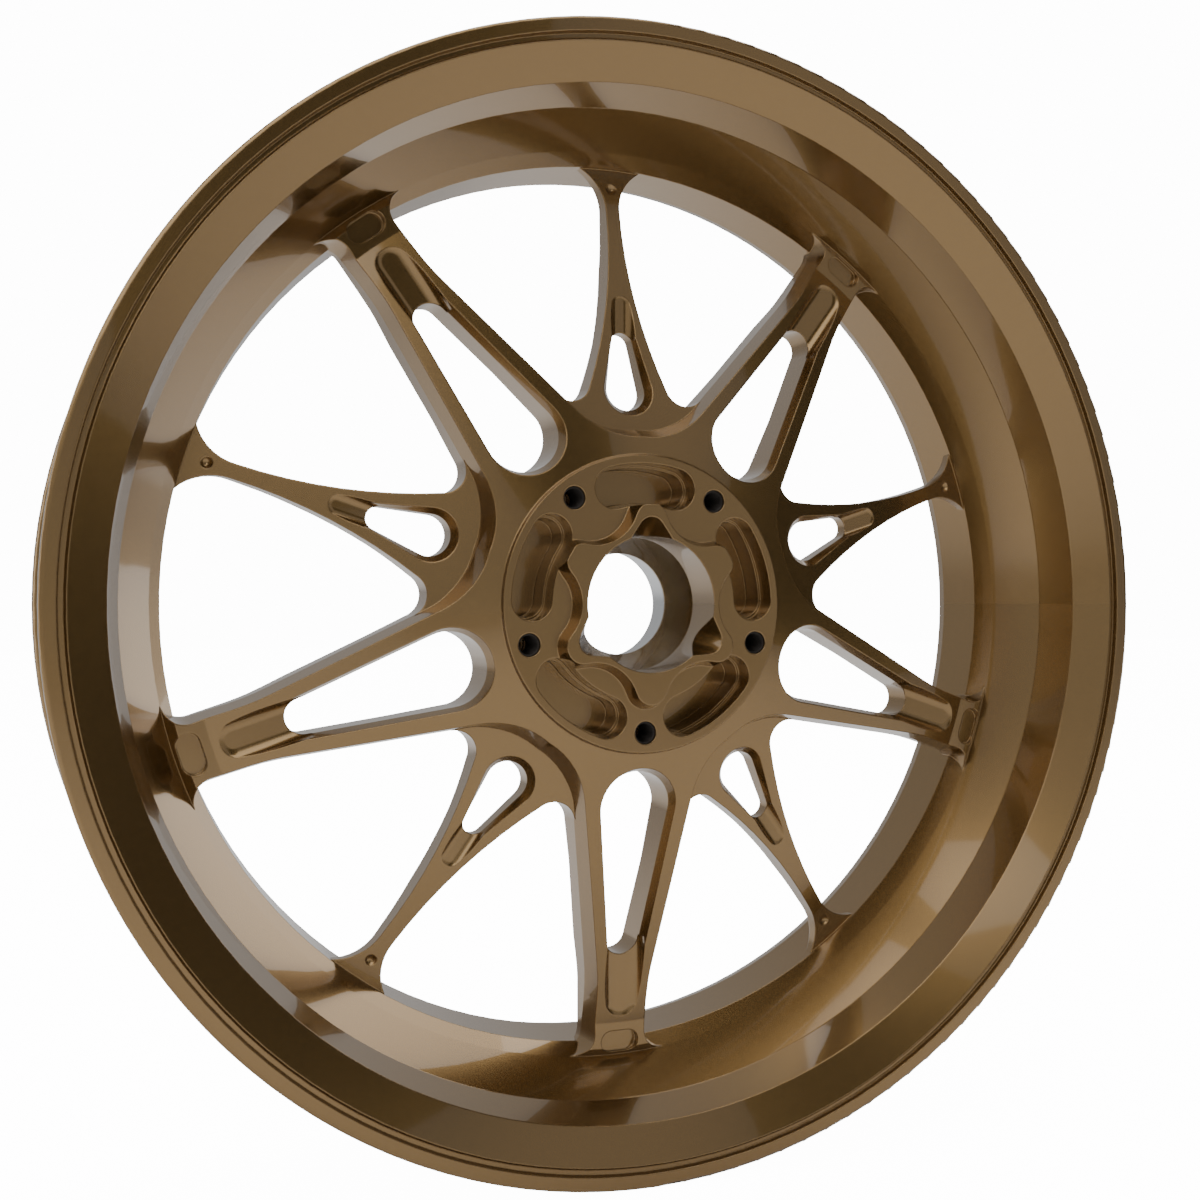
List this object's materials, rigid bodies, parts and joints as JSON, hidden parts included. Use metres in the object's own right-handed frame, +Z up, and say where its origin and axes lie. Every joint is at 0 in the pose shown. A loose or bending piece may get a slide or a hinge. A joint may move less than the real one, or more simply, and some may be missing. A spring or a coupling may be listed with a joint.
{
  "type": "racing wheel rim",
  "caption": "Forged racing wheel rim with twin-armed and slim spokes in turn, hub bearings on a stub spindle bore, and a tyre valve.",
  "frame": {"origin": "middle of the rim on the wheel's axle", "axes": "+Y along the axle towards the inboard side; the outboard face with the disc bolts looks along -Y; +Z up, through a slim spoke"},
  "size_m": [0.4646, 0.112, 0.4646],
  "materials": {
    "bronze_paint": "gloss metallic",
    "bearing_steel": "ground",
    "ball_steel": "polished",
    "cage_brass": "machined",
    "seal_rubber": "moulded",
    "sleeve_aluminium": "turned",
    "spring_steel": "phosphated",
    "insert_steel": "bright",
    "valve_metal": "anodised",
    "valve_rubber": "moulded",
    "valve_brass": "bright",
    "cap_plastic": "moulded"
  },
  "bodies": {
    "spindle_set": {"outboard_bearing_inner_ring": "bearing_steel", "inboard_bearing_inner_ring": "bearing_steel", "bearing_distance_sleeve": "sleeve_aluminium"},
    "wheel": {"wheel_forging": "bronze_paint", "disc_thread_inserts": "insert_steel", "outboard_bearing_outer_ring": "bearing_steel", "outboard_bearing_seals": "seal_rubber", "inboard_bearing_outer_ring": "bearing_steel", "inboard_bearing_seals": "seal_rubber", "hub_circlip": "spring_steel", "hub_dust_seal": "seal_rubber", "seal_garter_spring": "spring_steel", "valve_stem": "valve_metal", "valve_base_gasket": "valve_rubber", "valve_washer": "valve_metal", "valve_nut": "valve_metal", "valve_core_body": "valve_brass", "valve_core_spring": "spring_steel"},
    "outboard_ball_set": {"outboard_bearing_balls": "ball_steel", "outboard_bearing_cage": "cage_brass"},
    "inboard_ball_set": {"inboard_bearing_balls": "ball_steel", "inboard_bearing_cage": "cage_brass"},
    "valve_pin_set": {"valve_core_pin": "valve_brass", "valve_core_seal": "valve_rubber"},
    "valve_cap_set": {"valve_cap": "cap_plastic", "valve_cap_seal": "valve_rubber"}
  },
  "joints": [
    {"name": "wheel_spin", "type": "hinge", "parent": "spindle_set", "child": "wheel", "pos_m": [0, 0, 0], "axis": [0, 1, 0], "continuous": true},
    {"name": "outboard_balls_orbit", "type": "hinge", "parent": "spindle_set", "child": "outboard_ball_set", "pos_m": [0, 0, 0], "axis": [0, 1, 0], "continuous": true},
    {"name": "inboard_balls_orbit", "type": "hinge", "parent": "spindle_set", "child": "inboard_ball_set", "pos_m": [0, 0, 0], "axis": [0, 1, 0], "continuous": true},
    {"name": "valve_pin_press", "type": "slide", "parent": "wheel", "child": "valve_pin_set", "axis": [-0.9511, 0, -0.309], "range_m": [0, 0.0015], "stiffness_N_per_m": 300, "springref_m": -0.002, "deforming": ["valve_core_spring"]},
    {"name": "valve_cap_off", "type": "slide", "parent": "wheel", "child": "valve_cap_set", "axis": [0.9511, 0, 0.309], "range_m": [0, 0.02]}
  ],
  "couplings": [
    {"joint": "outboard_balls_orbit", "follows": "wheel_spin", "ratio": 0.5562},
    {"joint": "inboard_balls_orbit", "follows": "wheel_spin", "ratio": 0.5347}
  ]
}
